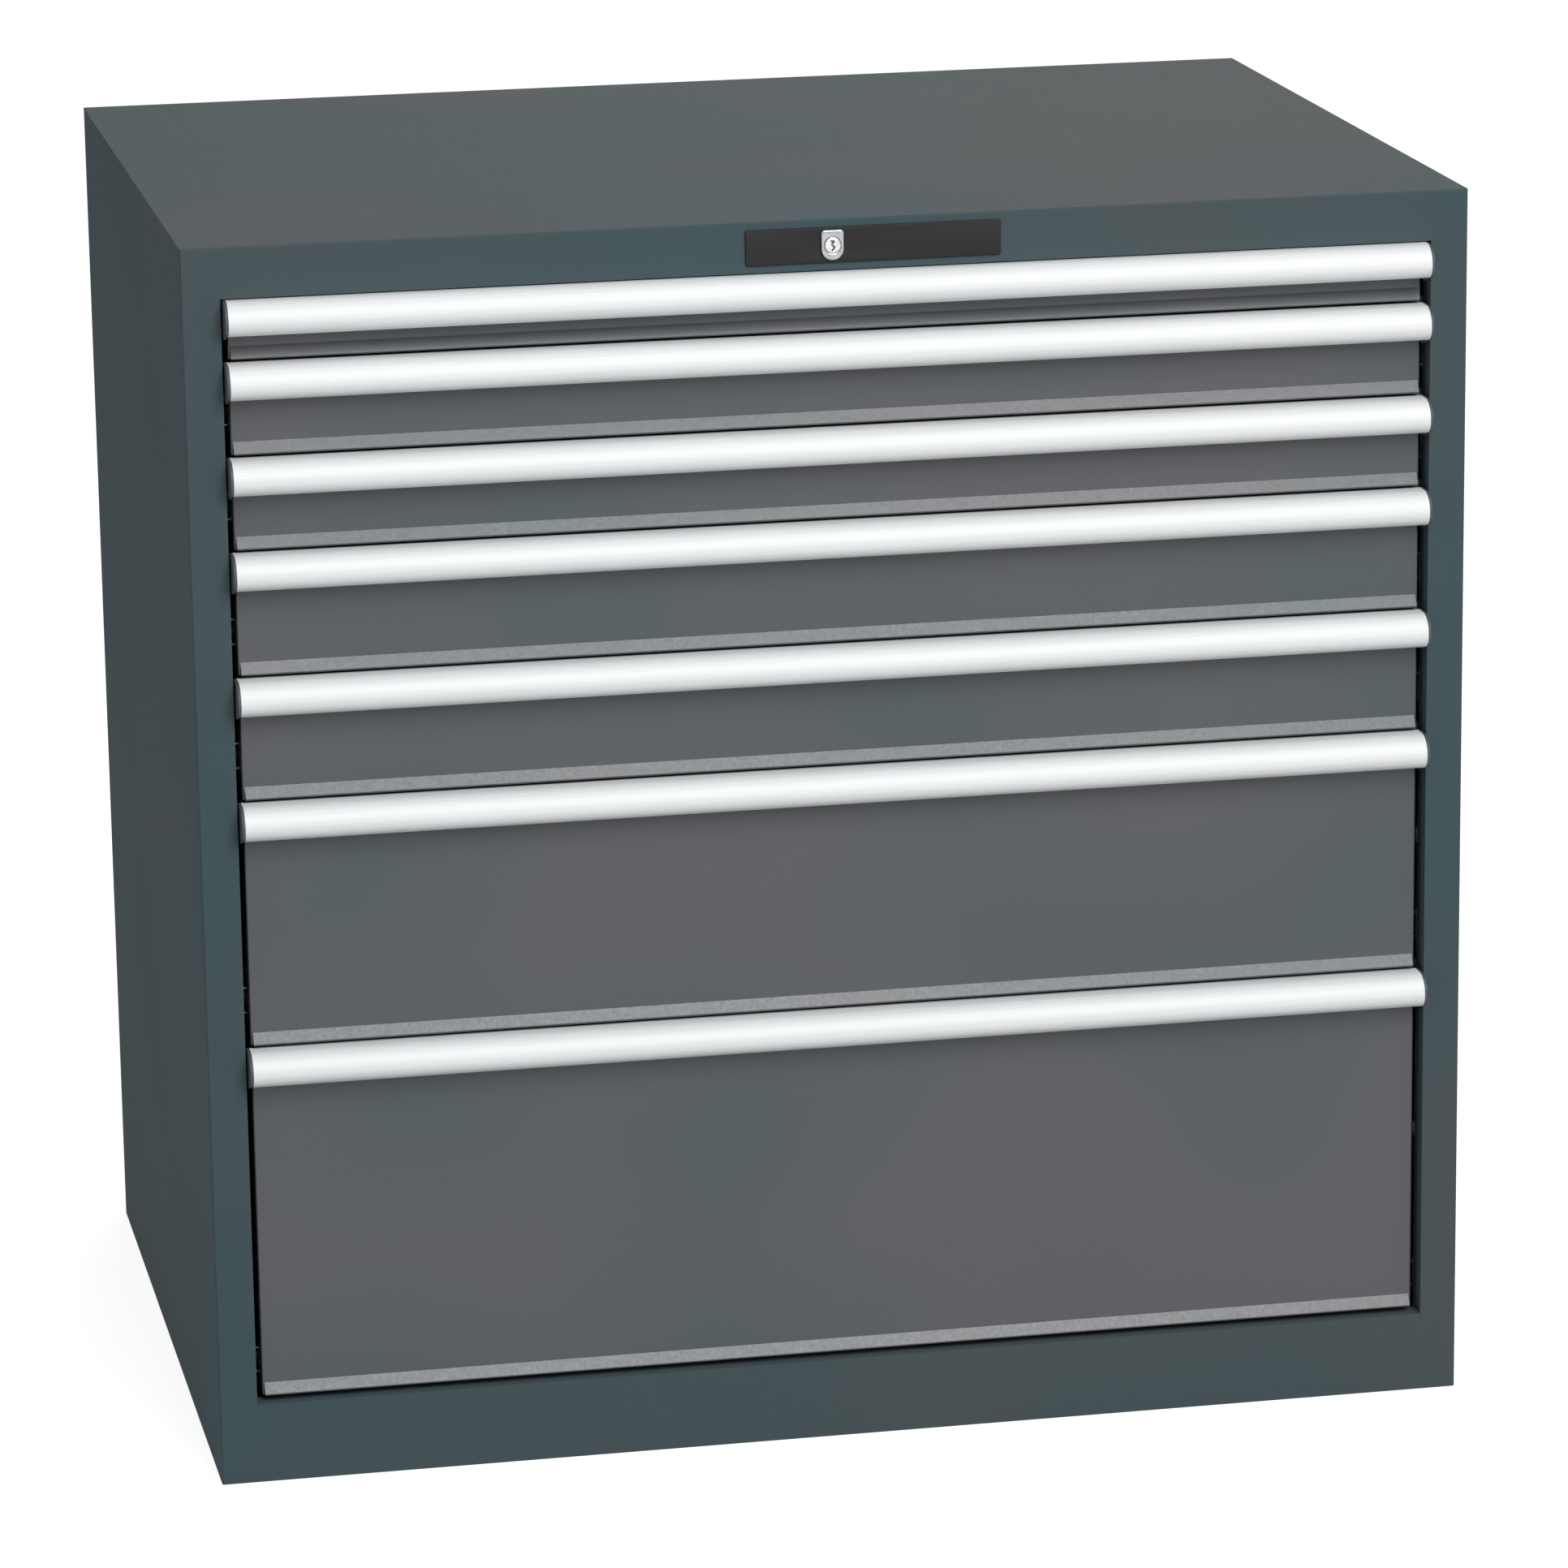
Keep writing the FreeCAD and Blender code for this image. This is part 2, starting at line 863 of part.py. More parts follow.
def bar_guides():
    """Three loops on the upright, each halfway up a tall drawer's pitch, and two from the top."""
    loops = []
    for n in (1, len(front_steps) - 2, len(front_steps) - 1):
        loops.append(bar_loop(drawer_floor(n) + raster * front_steps[n] / 2))
    for share in (0.2, 0.8):
        loops.append(draw_loop(lock_x + share * (link_x - lock_x)))
    return loops


def earth_stud():
    """Snap stud for an earth lead on its six-sided foot, in the recess of the back."""
    y0 = back_y - rear_joggle - sheet_t
    foot = extruded_y(polygon(stud_x, stud_z, stud_foot_r, 6, in_front), y0, y0 + stud_foot_t)
    head = rod_y(y0 + stud_foot_t, y0 + stud_foot_t + stud_length, stud_x, stud_z, stud_r)
    return fused([foot, head])


def main():
    os.makedirs("parts", exist_ok=True)
    side = side_panel()
    keep("side_panel_right", [side])
    keep("side_panel_left", [mirrored(side)])
    keep("top_panel", [top_panel()])
    keep("back_panel", [back_panel()])
    keep("base_pan", [base_pan()])
    keep("plinth_front", [plinth_front()])
    uprights = []
    for place in upright_places:
        uprights += pair(upright(place))
    keep("uprights", uprights)
    rails = []
    rollers = []
    for n in range(len(front_steps)):
        rails += pair(guide_rail(n))
        rollers += pair(support_roller(n))
    keep("guide_rails", rails)
    keep("guide_rollers", rollers)
    keep("lock_cover", [lock_cover()])
    keep("lock_escutcheon", [lock_escutcheon()])
    keep("lock_housing", [lock_housing()])
    keep("lock_cylinder", [lock_cylinder()])
    keep("lock_crank", [lock_crank()])
    keep("lock_draw_bar", [lock_draw_bar()])
    keep("locking_bar", locking_bar())
    keep("bar_guides", bar_guides())
    keep("earth_stud", [earth_stud()])
    for n in range(len(front_steps)):
        name = "drawer_%d_" % (n + 1)
        keep(name + "pan", drawer_pan(n))
        keep(name + "front", [drawer_front(n)])
        keep(name + "handle", [handle(n)])
        keep(name + "end_caps", pair(end_cap(n)))
        keep(name + "rollers", pair(tail_roller(n)))
        right = carriage(n)
        keep(name + "carriage", right + [mirrored(piece) for piece in right])
    print("drawer extension", round(extension, 2), "lock stroke", round(stroke, 3))


main()
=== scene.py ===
import bmesh
import bpy
import json
import math
from mathutils import Matrix, Vector

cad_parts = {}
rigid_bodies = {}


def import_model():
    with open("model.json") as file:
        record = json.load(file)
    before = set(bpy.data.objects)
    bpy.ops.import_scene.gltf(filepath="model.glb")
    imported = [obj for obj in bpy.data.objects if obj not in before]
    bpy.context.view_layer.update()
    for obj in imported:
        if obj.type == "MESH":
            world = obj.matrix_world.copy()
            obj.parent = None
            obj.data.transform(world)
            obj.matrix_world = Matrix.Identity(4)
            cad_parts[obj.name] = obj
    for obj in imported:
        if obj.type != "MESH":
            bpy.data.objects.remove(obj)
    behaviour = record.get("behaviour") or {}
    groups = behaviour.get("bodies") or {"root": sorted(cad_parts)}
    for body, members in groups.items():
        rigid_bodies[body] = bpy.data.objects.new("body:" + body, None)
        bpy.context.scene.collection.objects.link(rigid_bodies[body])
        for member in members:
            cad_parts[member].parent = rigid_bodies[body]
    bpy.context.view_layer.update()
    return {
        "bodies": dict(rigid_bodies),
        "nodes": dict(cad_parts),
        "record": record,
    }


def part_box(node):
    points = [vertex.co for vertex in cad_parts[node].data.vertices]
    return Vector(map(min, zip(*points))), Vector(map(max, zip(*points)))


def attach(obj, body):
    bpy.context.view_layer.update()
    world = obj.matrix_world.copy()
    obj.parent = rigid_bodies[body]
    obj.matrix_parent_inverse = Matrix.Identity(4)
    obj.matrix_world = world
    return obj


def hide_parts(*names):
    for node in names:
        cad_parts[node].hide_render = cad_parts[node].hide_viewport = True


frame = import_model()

mm = 0.001
tiny = 0.01 * mm  # two places nearer than this are one
slotOf = {part["node"]: part["material_slot"] for part in frame["record"]["subparts"]}
drawerCount = sum(1 for name in frame["bodies"] if name.startswith("drawer_"))
drawers = range(1, drawerCount + 1)


# Colours and nodes

wideSpan = (0.3, 0.7)  # nearly all of a noise's values lie between these
narrowSpan = (0.35, 0.65)  # takes more of them to their full tone


def toLinear(hexColour):
    parts = [int(hexColour[i:i + 2], 16) / 255 for i in (1, 3, 5)]
    return [c / 12.92 if c <= 0.04045 else ((c + 0.055) / 1.055) ** 2.4 for c in parts] + [1]


def addNode(tree, kind, inputs=None, **settings):
    node = tree.nodes.new(kind)
    for name, value in settings.items():
        setattr(node, name, value)
    for socket, value in (inputs or {}).items():
        if isinstance(value, bpy.types.NodeSocket):
            tree.links.new(value, node.inputs[socket])
        else:
            node.inputs[socket].default_value = value
    return node


def newMaterial(name):
    material = bpy.data.materials.new(name)
    material.use_nodes = True
    tree = material.node_tree
    tree.nodes.clear()
    shader = addNode(tree, "ShaderNodeBsdfPrincipled")
    addNode(tree, "ShaderNodeOutputMaterial", {"Surface": shader.outputs["BSDF"]})
    return material, tree, shader


# A noise whose grain is given in millimetres along x, y and z
def grain(tree, sizeMm, detail=2.0):
    spot = addNode(tree, "ShaderNodeTexCoord").outputs["Object"]
    scale = [1 / (size * mm) for size in sizeMm]
    mapped = addNode(tree, "ShaderNodeMapping", {"Vector": spot, "Scale": scale}).outputs["Vector"]
    noise = addNode(tree, "ShaderNodeTexNoise", {"Vector": mapped, "Scale": 1.0, "Detail": detail})
    return noise.outputs["Fac"]


# Two tones blended by a pattern, the span being where the blend starts and ends
def blendTones(tree, pattern, span, toneA, toneB):
    share = addNode(tree, "ShaderNodeMapRange", {"Value": pattern, "From Min": span[0], "From Max": span[1]})
    mix = addNode(tree, "ShaderNodeMix", {0: share.outputs[0]}, data_type="RGBA")
    mix.inputs[6].default_value = toLinear(toneA)  # 6, 7 and 2 are the node's colour sockets
    mix.inputs[7].default_value = toLinear(toneB)
    return mix.outputs[2]


# The tones follow one pattern, and the gloss and the relief follow a fine one
def dress(tree, shader, look, pattern, span, fine):
    tone = blendTones(tree, pattern, span, look["toneA"], look["toneB"])
    tree.links.new(tone, shader.inputs["Base Color"])
    rough, varies = look["roughness"], look["glossVaries"]
    gloss = addNode(tree, "ShaderNodeMapRange", {"Value": fine, "From Min": wideSpan[0],
                                                 "From Max": wideSpan[1], "To Min": rough - varies,
                                                 "To Max": rough + varies})
    tree.links.new(gloss.outputs[0], shader.inputs["Roughness"])
    relief = addNode(tree, "ShaderNodeBump", {"Height": fine, "Distance": look["reliefMm"] * mm})
    tree.links.new(relief.outputs["Normal"], shader.inputs["Normal"])


# Materials

# Polyester powder coat on steel: the faint orange peel breaks up reflections, and the broad, soft
# changes of tone are painted reflections, standing in for where the panels mirror their surroundings
def powderCoat(name, look):
    material, tree, shader = newMaterial(name)
    cloud = grain(tree, look["reflectionCloudMm"], detail=1.0)
    peel = grain(tree, [look["peelMm"]] * 3)
    dress(tree, shader, look, cloud, narrowSpan, peel)
    shader.inputs["IOR"].default_value = look["ior"]
    shader.inputs["Specular IOR Level"].default_value = look["specular"]
    return material


# Anodised aluminium extrusion: bright and even, with die lines drawn out along the profile
def anodised(name, look):
    material, tree, shader = newMaterial(name)
    lines = grain(tree, [look["lineLengthMm"], look["lineMm"], look["lineMm"]])
    dress(tree, shader, look, lines, wideSpan, lines)
    shader.inputs["Metallic"].default_value = look["metallic"]
    return material


# Moulded plastic with spark-eroded grain: matt, with tiny soft sparkles at grazing angles
def mouldedPlastic(name, look):
    material, tree, shader = newMaterial(name)
    pits = grain(tree, [look["grainMm"]] * 3)
    dress(tree, shader, look, pits, wideSpan, pits)
    shader.inputs["IOR"].default_value = look["ior"]
    shader.inputs["Specular IOR Level"].default_value = look["specular"]
    return material


# Plated metal: satin or bright, with faint crystals of plating that vary its gloss
def plated(name, look):
    material, tree, shader = newMaterial(name)
    crystals = grain(tree, [look["crystalMm"]] * 3)
    dress(tree, shader, look, crystals, narrowSpan, crystals)
    shader.inputs["Metallic"].default_value = 1.0
    return material


# The peel is really about 1 mm across, and the die lines, the plastic's grain and the plating's
# crystals are finer still; each is drawn coarser so that it shows
# In each coat, the broad cloud that blends toneA into toneB is a painted reflection
housingCoat = {"toneA": "#45565b", "toneB": "#4d5659", "reflectionCloudMm": [420, 500, 380], "peelMm": 2.4,
               "reliefMm": 0.012, "roughness": 0.85, "glossVaries": 0.05, "ior": 1.5, "specular": 0.12}
frontCoat = {"toneA": "#3f494c", "toneB": "#4c4d51", "reflectionCloudMm": [330, 300, 240], "peelMm": 2.4,
             "reliefMm": 0.012, "roughness": 0.38, "glossVaries": 0.05, "ior": 1.5, "specular": 0.62}
panCoat = {"toneA": "#5d676b", "toneB": "#63696d", "reflectionCloudMm": [300, 300, 300], "peelMm": 2.0,
           "reliefMm": 0.01, "roughness": 0.6, "glossVaries": 0.05, "ior": 1.5, "specular": 0.25}
# The oxide scatters most of the light, so the aluminium is only slightly metallic
aluminium = {"toneA": "#e4e6e7", "toneB": "#ecedee", "lineLengthMm": 260, "lineMm": 0.9,
             "reliefMm": 0.002, "roughness": 0.62, "glossVaries": 0.04, "metallic": 0.1}
capPlastic = {"toneA": "#42484a", "toneB": "#4d5355", "grainMm": 0.8,
              "reliefMm": 0.02, "roughness": 0.5, "glossVaries": 0.06, "ior": 1.46, "specular": 0.5}
coverPlastic = {"toneA": "#1c1c1d", "toneB": "#232322", "grainMm": 1.1,
                "reliefMm": 0.02, "roughness": 0.6, "glossVaries": 0.06, "ior": 1.46, "specular": 0.3}
polyamide = {"toneA": "#1d1d1f", "toneB": "#28282b", "grainMm": 0.7,
             "reliefMm": 0.01, "roughness": 0.42, "glossVaries": 0.06, "ior": 1.53, "specular": 0.5}
chrome = {"toneA": "#a6a8ab", "toneB": "#b5b7b9", "crystalMm": 5,
          "reliefMm": 0.002, "roughness": 0.24, "glossVaries": 0.05}
nickel = {"toneA": "#d2d2d0", "toneB": "#dededc", "crystalMm": 4,
          "reliefMm": 0.002, "roughness": 0.3, "glossVaries": 0.05}
zinc = {"toneA": "#a9b0b5", "toneB": "#c2c8cb", "crystalMm": 9,
        "reliefMm": 0.003, "roughness": 0.36, "glossVaries": 0.05}

finishes = {
    "housing_paint": powderCoat("powderCoatHousing", housingCoat),
    "front_paint": powderCoat("powderCoatFronts", frontCoat),
    "drawer_paint": powderCoat("powderCoatPans", panCoat),
    "handle_aluminium": anodised("anodisedAluminium", aluminium),
    "cap_plastic": mouldedPlastic("mouldedCapPlastic", capPlastic),
    "cover_plastic": mouldedPlastic("mouldedCoverPlastic", coverPlastic),
    "escutcheon_chrome": plated("satinChrome", chrome),
    "lock_metal": plated("nickelPlate", nickel),
    "zinc_steel": plated("zincPlatedSteel", zinc),
    "roller_plastic": mouldedPlastic("turnedPolyamide", polyamide),
    "stud_brass": plated("nickelPlatedBrass", nickel),
}
for name, node in frame["nodes"].items():
    node.data.materials.clear()
    node.data.materials.append(finishes[slotOf[name]])
print("materials:", len(finishes))


# Mesh helpers

meshLook = {"sharpDegrees": 32, "foldSegments": 6, "edgeSegments": 2}
faceFront = Matrix.Rotation(math.radians(90), 4, "X")  # stands a flat sheet up across the cabinet
faceSide = Matrix.Rotation(math.radians(90), 4, "Z") @ faceFront  # stands it up along the side


def finishPiece(bm, name, body, slotName):
    bmesh.ops.remove_doubles(bm, verts=bm.verts, dist=tiny)
    bmesh.ops.recalc_face_normals(bm, faces=bm.faces)
    mesh = bpy.data.meshes.new(name)
    bm.to_mesh(mesh)
    bm.free()
    mesh.materials.append(finishes[slotName])
    mesh.shade_smooth()
    mesh.set_sharp_from_angle(angle=math.radians(meshLook["sharpDegrees"]))
    piece = bpy.data.objects.new(name, mesh)
    bpy.context.scene.collection.objects.link(piece)
    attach(piece, body)
    return piece


def newVerts(result):
    return [item for item in result["geom"] if isinstance(item, bmesh.types.BMVert)]


# The edges that lie wholly at one place along an axis, 0 being x
def edgesAt(bm, axis, place):
    return [edge for edge in bm.edges if all(abs(vert.co[axis] - place) < tiny for vert in edge.verts)]


def addTo(bm, part):
    scratch = bpy.data.meshes.new("scratch")
    part.to_mesh(scratch)
    part.free()
    bm.from_mesh(scratch)
    bpy.data.meshes.remove(scratch)


# A chain of corners (place, radius) with its round corners turned into arcs
def roundedChain(bm, corners, segments, closed=False):
    verts = [bm.verts.new(place) for place, radius in corners]
    for pair in zip(verts, verts[1:]):
        bm.edges.new(pair)
    if closed:
        bm.edges.new((verts[-1], verts[0]))
    for vert, (place, radius) in zip(verts, corners):
        if radius > 0:
            bmesh.ops.bevel(bm, geom=[vert], offset=radius, offset_type="OFFSET", segments=segments,
                            profile=0.5, affect="VERTICES", material=-1)


# A folded sheet or extruded profile: the chain is its outer skin
def addProfile(bm, corners, wall, along, segments=meshLook["foldSegments"]):
    part = bmesh.new()
    roundedChain(part, corners, segments)
    moved = bmesh.ops.extrude_edge_only(part, edges=part.edges[:])
    bmesh.ops.translate(part, verts=newVerts(moved), vec=along)
    bmesh.ops.recalc_face_normals(part, faces=part.faces)
    bmesh.ops.solidify(part, geom=part.faces[:], thickness=wall)
    addTo(bm, part)


def addBlock(bm, low, high, bevelBy=0.0):
    part = bmesh.new()
    size = Vector(high) - Vector(low)
    middle = (Vector(high) + Vector(low)) / 2
    bmesh.ops.create_cube(part, size=1, matrix=Matrix.Translation(middle) @ Matrix.Diagonal((*size, 1)))
    if bevelBy:
        bmesh.ops.bevel(part, geom=part.edges[:], offset=bevelBy, segments=meshLook["edgeSegments"],
                        profile=0.5, affect="EDGES", material=-1)
    addTo(bm, part)


# Where lands and slots meet along one side of a sheet, from its middle
def slotLines(length, count, slotSize):
    lines = [-length / 2]
    pitch = length / count
    for i in range(count):
        middle = -length / 2 + pitch * (i + 0.5)
        lines += [middle - slotSize / 2, middle + slotSize / 2]
    return lines + [length / 2]


# A sheet drawn flat in x and y, pierced by columns and rows of slots, then set in place
def addSlottedSheet(bm, size, counts, slotSize, thick, matrix):
    part = bmesh.new()
    xs = slotLines(size[0], counts[0], slotSize[0])
    ys = slotLines(size[1], counts[1], slotSize[1])
    bmesh.ops.create_grid(part, x_segments=len(xs) - 1, y_segments=len(ys) - 1, size=0.5)
    for vert in part.verts:
        vert.co.x = xs[round((vert.co.x + 0.5) * (len(xs) - 1))]
        vert.co.y = ys[round((vert.co.y + 0.5) * (len(ys) - 1))]
    holes = []
    for face in part.faces:
        spot = face.calc_center_median()
        column = sum(1 for x in xs if x < spot.x) - 1
        row = sum(1 for y in ys if y < spot.y) - 1
        if column % 2 and row % 2:
            holes.append(face)
    bmesh.ops.delete(part, geom=holes, context="FACES_ONLY")
    bmesh.ops.solidify(part, geom=part.faces[:], thickness=thick)
    bmesh.ops.transform(part, matrix=matrix, verts=part.verts)
    addTo(bm, part)


def mirrorAcross(bm):
    part = bm.copy()
    bmesh.ops.scale(part, vec=(-1, 1, 1), verts=part.verts)
    bmesh.ops.reverse_faces(part, faces=part.faces)
    addTo(bm, part)


# Handles

handleShape = {"wallMm": 2.2, "topRadiusMm": 16, "lowRadiusMm": 11, "lipMm": 11.3, "legMm": 25,
               "roundness": 16}


# The profile's outer skin: up its rear leg, over the top, round the nose and back along the lip
def handleSkin(low, high, x):
    return [
        (Vector((x, high.y, high.z - handleShape["legMm"] * mm)), 0),
        (Vector((x, high.y, high.z)), 0),
        (Vector((x, low.y, high.z)), handleShape["topRadiusMm"] * mm),
        (Vector((x, low.y, low.z)), handleShape["lowRadiusMm"] * mm),
        (Vector((x, low.y + handleShape["lipMm"] * mm, low.z)), 0),
    ]


def makeHandle(number):
    node = f"drawer_{number}_handle"
    low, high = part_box(node)
    bm = bmesh.new()
    along = Vector((high.x - low.x, 0, 0))
    addProfile(bm, handleSkin(low, high, low.x), handleShape["wallMm"] * mm, along, handleShape["roundness"])
    piece = finishPiece(bm, f"handleProfile.{number}", f"drawer_{number}", "handle_aluminium")
    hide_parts(node)


capShape = {"edgeMm": 0.5, "footMm": 5, "footChamferMm": 3, "tongueMm": 8, "tonguePlayMm": 0.3,
            "tongueEdgeMm": 0.3}


# A cap closes the profile's end and reaches down behind its nose to a chamfered foot
def capOutline(low, high, x):
    foot = low.z - capShape["footMm"] * mm
    chamfer = capShape["footChamferMm"] * mm
    return handleSkin(low, high, x)[1:] + [(Vector((x, high.y - chamfer, foot)), 0),
                                           (Vector((x, high.y, foot + chamfer)), 0)]


def makeEndCaps(number):
    node = f"drawer_{number}_end_caps"
    low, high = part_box(node)
    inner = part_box(f"drawer_{number}_handle")[1].x
    cap = bmesh.new()
    roundedChain(cap, capOutline(low, high, inner), handleShape["roundness"], closed=True)
    bmesh.ops.contextual_create(cap, geom=cap.edges[:])
    moved = bmesh.ops.extrude_face_region(cap, geom=cap.faces[:])
    bmesh.ops.translate(cap, verts=newVerts(moved), vec=(high.x - inner, 0, 0))
    bmesh.ops.bevel(cap, geom=edgesAt(cap, 0, high.x), offset=capShape["edgeMm"] * mm,
                    segments=meshLook["edgeSegments"], profile=0.5, affect="EDGES", material=-1)
    wall = handleShape["wallMm"] * mm
    play = capShape["tonguePlayMm"] * mm
    top = high.z - wall - play
    tongueLow = (inner - capShape["tongueMm"] * mm, low.y + handleShape["topRadiusMm"] * mm, top - wall)
    addBlock(cap, tongueLow, (inner, high.y - wall - play, top), capShape["tongueEdgeMm"] * mm)
    mirrorAcross(cap)
    piece = finishPiece(cap, f"handleEndCaps.{number}", f"drawer_{number}", "cap_plastic")
    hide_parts(node)


for number in drawers:
    makeHandle(number)
    makeEndCaps(number)
print("handles:", drawerCount)


# Runners

runnerShape = {"channelHalfMm": 10.8, "sheetMm": 1.5, "cornerMm": 2.5, "carriageFlangeMm": 8.5,
               "webPastFrontMm": 4.5, "rollerMm": 9, "rollerEdgeMm": 0.8, "rollerSides": 32, "rollerGapMm": 1,
               "rollerInsetMm": 12, "tailRollerFromRearMm": 39, "supportRollerMm": 6,
               "supportFromFrontMm": 62, "supportGapMm": 0.3, "supportInMm": 18,
               "railOutMm": 11, "railFrontMm": 5, "railRearMm": 1}
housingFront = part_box("side_panel_right")[0].y


def runnerHeight(number):
    low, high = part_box(f"drawer_{number}_carriage")
    return (low.z + high.z) / 2


# Half the width between the outer faces of a pan's walls, which carry the rails
def panHalf(number):
    return -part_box(f"drawer_{number}_pan")[0].x - runnerShape["railOutMm"] * mm


# A channel on its side along y, its web at one x and its flanges reaching to another
def addChannel(bm, webX, flangeX, y0, y1, z):
    top = z + runnerShape["channelHalfMm"] * mm
    bottom = z - runnerShape["channelHalfMm"] * mm
    corner = runnerShape["cornerMm"] * mm
    skin = [(Vector((flangeX, y0, top)), 0), (Vector((webX, y0, top)), corner),
            (Vector((webX, y0, bottom)), corner), (Vector((flangeX, y0, bottom)), 0)]
    addProfile(bm, skin, runnerShape["sheetMm"] * mm, Vector((0, y1 - y0, 0)))


# A turned roller with eased rims, from x0 to x1
def addRoller(bm, x0, x1, y, z, radius):
    part = bmesh.new()
    edge = runnerShape["rollerEdgeMm"] * mm
    profile = [(x0, 0), (x0, radius - edge), (x0 + edge, radius),
               (x1 - edge, radius), (x1, radius - edge), (x1, 0)]
    verts = [part.verts.new((x, y, z + r)) for x, r in profile]
    edges = [part.edges.new(pair) for pair in zip(verts, verts[1:])]
    bmesh.ops.spin(part, geom=verts + edges, cent=(0, y, z), axis=(1, 0, 0), angle=math.tau,
                   steps=runnerShape["rollerSides"], use_merge=True, use_duplicate=False)
    bmesh.ops.remove_doubles(part, verts=part.verts, dist=tiny)
    bmesh.ops.recalc_face_normals(part, faces=part.faces)
    addTo(bm, part)


# A pair of carriages with their nose and tail rollers, and the rollers at the drawer's own tail
def makeRunners(number):
    low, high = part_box(f"drawer_{number}_carriage")
    z = runnerHeight(number)
    sheet = runnerShape["sheetMm"] * mm
    gap = runnerShape["rollerGapMm"] * mm
    inset = runnerShape["rollerInsetMm"] * mm
    radius = runnerShape["rollerMm"] * mm
    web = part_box("drawer_1_front")[1].x + runnerShape["webPastFrontMm"] * mm
    railFace = panHalf(number) + sheet
    channels = bmesh.new()
    addChannel(channels, web, web - runnerShape["carriageFlangeMm"] * mm, low.y, high.y, z)
    mirrorAcross(channels)
    piece = finishPiece(channels, f"carriageChannels.{number}", f"carriage_{number}", "zinc_steel")
    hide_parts(f"drawer_{number}_carriage")
    rollers = bmesh.new()
    addRoller(rollers, railFace + gap, web - sheet, low.y + inset, z, radius)
    addRoller(rollers, web, high.x, high.y - inset, z, radius)
    mirrorAcross(rollers)
    piece = finishPiece(rollers, f"carriageRollers.{number}", f"carriage_{number}", "roller_plastic")
    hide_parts(f"drawer_{number}_carriage")
    tail = bmesh.new()
    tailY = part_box(f"drawer_{number}_pan")[1].y - runnerShape["tailRollerFromRearMm"] * mm
    addRoller(tail, railFace, web - sheet - gap, tailY, z, radius)
    mirrorAcross(tail)
    piece = finishPiece(tail, f"tailRollers.{number}", f"drawer_{number}", "roller_plastic")
    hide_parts(f"drawer_{number}_rollers")


# The fixed rollers at the mouth of the housing, one under the nose of each carriage
def makeSupportRollers():
    bm = bmesh.new()
    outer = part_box("guide_rollers")[1].x
    radius = runnerShape["supportRollerMm"] * mm
    y = housingFront + runnerShape["supportFromFrontMm"] * mm
    for number in drawers:
        under = runnerHeight(number) - (runnerShape["channelHalfMm"] + runnerShape["supportGapMm"]) * mm
        addRoller(bm, outer - runnerShape["supportInMm"] * mm, outer, y, under - radius, radius)
    mirrorAcross(bm)
    piece = finishPiece(bm, "supportRollers", "housing", "roller_plastic")
    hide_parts("guide_rollers")


for number in drawers:
    makeRunners(number)
makeSupportRollers()
print("runners:", drawerCount)


# Drawer pans

panShape = {"sheetMm": 1.0, "hemMm": 8, "foldMm": 0.7, "pitchMm": 17, "slotMm": 2.6, "rowMm": 50,
            "slotShare": 0.56, "floorPitchMm": 51, "floorSlotMm": 12, "catchFrontMm": 34,
            "catchThickMm": 3, "catchHighMm": 9.5, "catchEdgeMm": 0.4}


# Four slotted walls under a hem, and a floor with rows of short slots for partitions
def addPanSheets(bm, low, high, half):
    thick = panShape["sheetMm"] * mm
    slot = panShape["slotMm"] * mm
    hemLow = high.z - panShape["hemMm"] * mm
    wallHeight = hemLow - low.z - thick
    rows = max(1, round(wallHeight / (panShape["rowMm"] * mm)))
    wallSlot = (slot, wallHeight / rows * panShape["slotShare"])
    width, depth = 2 * half, high.y - low.y
    across, deep = (round(length / (panShape["pitchMm"] * mm)) for length in (width, depth))
    middleY = (low.y + high.y) / 2
    middleZ = low.z + thick + wallHeight / 2
    centred = Matrix.Translation((0, 0, -thick / 2))
    for y in (low.y + thick / 2, high.y - thick / 2):
        place = Matrix.Translation((0, y, middleZ)) @ faceFront @ centred
        addSlottedSheet(bm, (width - 2 * thick, wallHeight), (across, rows), wallSlot, thick, place)
    for x in (thick / 2 - half, half - thick / 2):
        place = Matrix.Translation((x, middleY, middleZ)) @ faceSide @ centred
        addSlottedSheet(bm, (depth, wallHeight), (deep, rows), wallSlot, thick, place)
    floorCounts = [round(length / (panShape["floorPitchMm"] * mm)) for length in (width, depth)]
    addSlottedSheet(bm, (width, depth), floorCounts, (slot, panShape["floorSlotMm"] * mm), thick,
                    Matrix.Translation((0, middleY, low.z)))
    fold = panShape["foldMm"] * mm
    for y0, y1 in ((low.y, low.y + 2 * thick), (high.y - 2 * thick, high.y)):
        addBlock(bm, (-half, y0, hemLow), (half, y1, high.z), fold)
    for x0, x1 in ((-half, 2 * thick - half), (half - 2 * thick, half)):
        addBlock(bm, (x0, low.y, hemLow), (x1, high.y, high.z), fold)


# The pan carries its half of the runners outside its walls, and the catch for the locking bar
def makePan(number):
    node = f"drawer_{number}_pan"
    low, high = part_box(node)
    half = panHalf(number)
    bm = bmesh.new()
    addPanSheets(bm, low, high, half)
    rails = bmesh.new()
    addChannel(rails, half, -low.x, low.y + runnerShape["railFrontMm"] * mm,
               high.y - runnerShape["railRearMm"] * mm, runnerHeight(number))
    mirrorAcross(rails)
    addTo(bm, rails)
    catchY = housingFront + panShape["catchFrontMm"] * mm
    catchHigh = (high.x, catchY + panShape["catchThickMm"] * mm, low.z + panShape["catchHighMm"] * mm)
    addBlock(bm, (half, catchY, low.z), catchHigh, panShape["catchEdgeMm"] * mm)
    piece = finishPiece(bm, f"drawerPan.{number}", f"drawer_{number}", "drawer_paint")
    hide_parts(node)


for number in drawers:
    makePan(number)
print("pans:", drawerCount)


# Uprights

